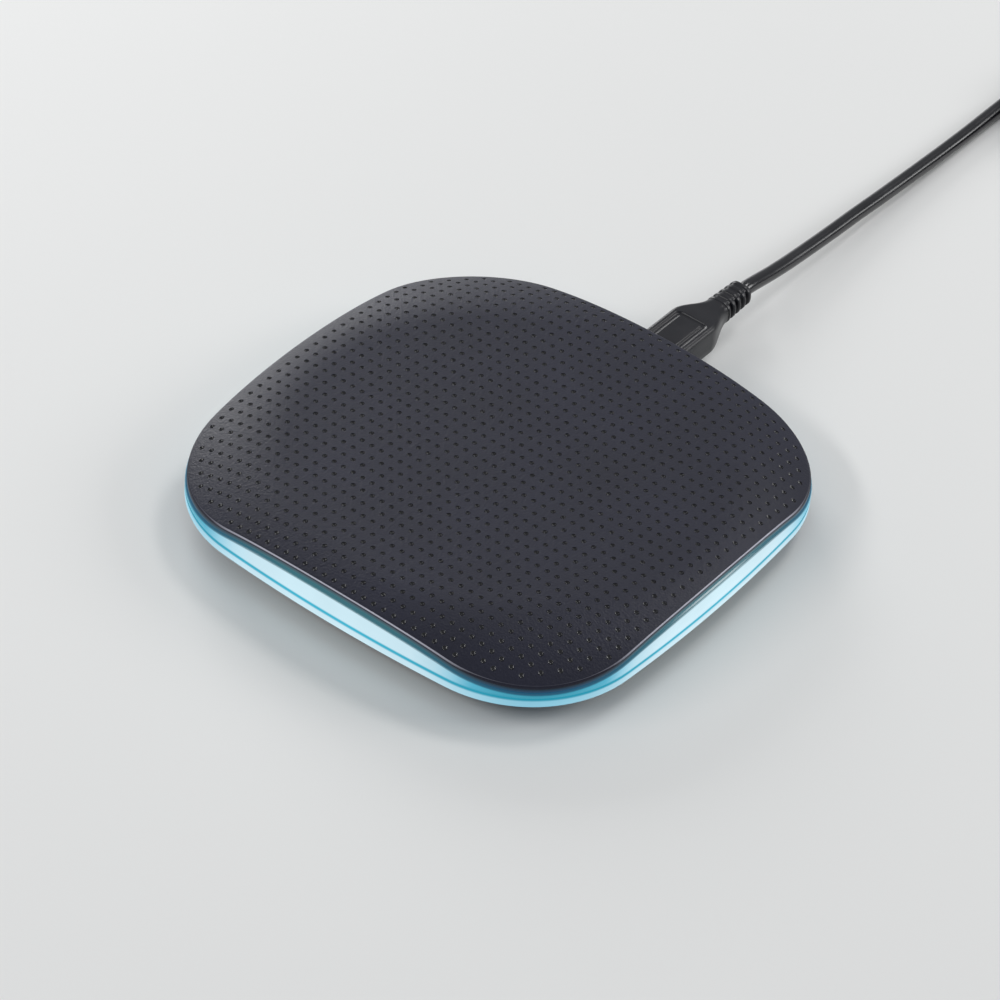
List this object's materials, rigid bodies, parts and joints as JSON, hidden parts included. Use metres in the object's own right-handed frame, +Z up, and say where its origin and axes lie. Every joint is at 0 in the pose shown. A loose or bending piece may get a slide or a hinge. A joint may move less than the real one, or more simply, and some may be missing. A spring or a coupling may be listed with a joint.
{
  "type": "wireless charging pad",
  "caption": "Rounded-square inductive charging pad with a dimpled grip cover, an edge light ring, a micro-USB socket and its plug-in USB lead.",
  "frame": {"origin": "on the surface that the pad stands on, under the centre of the pad", "axes": "+Z up out of the charging face, +Y out of the micro-USB socket along the lead, +X to the right seen from the front"},
  "size_m": [0.1164, 0.2586, 0.0128],
  "materials": {
    "grip_skin": "satin dimpled, with a fine leather grain",
    "cover_plastic": "satin black",
    "ring_acrylic": "translucent, lit from inside",
    "base_plastic": "fine spark-eroded black",
    "foot_rubber": "matt",
    "screw_steel": "zinc plated",
    "board_laminate": "green solder mask",
    "carrier_plastic": "moulded white",
    "ferrite": "sintered grey",
    "coil_copper": "enamelled stranded wire",
    "adhesive_tape": "amber film",
    "plated_steel": "nickel plated sheet",
    "contact_gold": "gold plated",
    "connector_black": "moulded black",
    "connector_white": "moulded white",
    "chip_epoxy": "moulded epoxy",
    "capacitor_ceramic": "fired ceramic with tinned ends",
    "inductor_ferrite": "coated ferrite",
    "led_package": "white with a clear lens",
    "sensor_glass": "dipped",
    "plug_pvc": "soft moulded black",
    "cable_jacket": "smooth extruded black",
    "tie_fabric": "hook and loop strap"
  },
  "bodies": {
    "pad": {"grip_skin": "grip_skin", "top_plate": "cover_plastic", "light_ring": "ring_acrylic", "base_shell": "base_plastic", "rubber_feet": "foot_rubber", "base_screws": "screw_steel", "main_board": "board_laminate", "coil_carrier": "carrier_plastic", "ferrite_plate": "ferrite", "charging_coil": "coil_copper", "coil_leads": "coil_copper", "coil_tape": "adhesive_tape", "socket_shell": "plated_steel", "socket_tongue": "connector_black", "socket_contacts": "contact_gold", "controller_chip": "chip_epoxy", "power_transistors": "chip_epoxy", "resonant_capacitors": "capacitor_ceramic", "power_inductor": "inductor_ferrite", "input_capacitors": "capacitor_ceramic", "clock_crystal": "plated_steel", "temperature_sensor": "sensor_glass", "ring_leds": "led_package", "chip_resistors": "chip_epoxy"},
    "lead": {"micro_plug_body": "plug_pvc", "micro_plug_shell": "plated_steel", "micro_plug_insert": "connector_black", "micro_plug_contacts": "contact_gold", "micro_plug_latches": "plated_steel", "cable_lead": "cable_jacket", "cable_coil": "cable_jacket", "cable_tail": "cable_jacket", "cable_tie": "tie_fabric", "usb_a_plug_body": "plug_pvc", "usb_a_plug_shell": "plated_steel", "usb_a_plug_insert": "connector_white", "usb_a_plug_contacts": "contact_gold"}
  },
  "joints": [
    {"name": "plug_pull", "type": "slide", "parent": "pad", "child": "lead", "axis": [0, 1, 0], "range_m": [0, 0.012]}
  ]
}
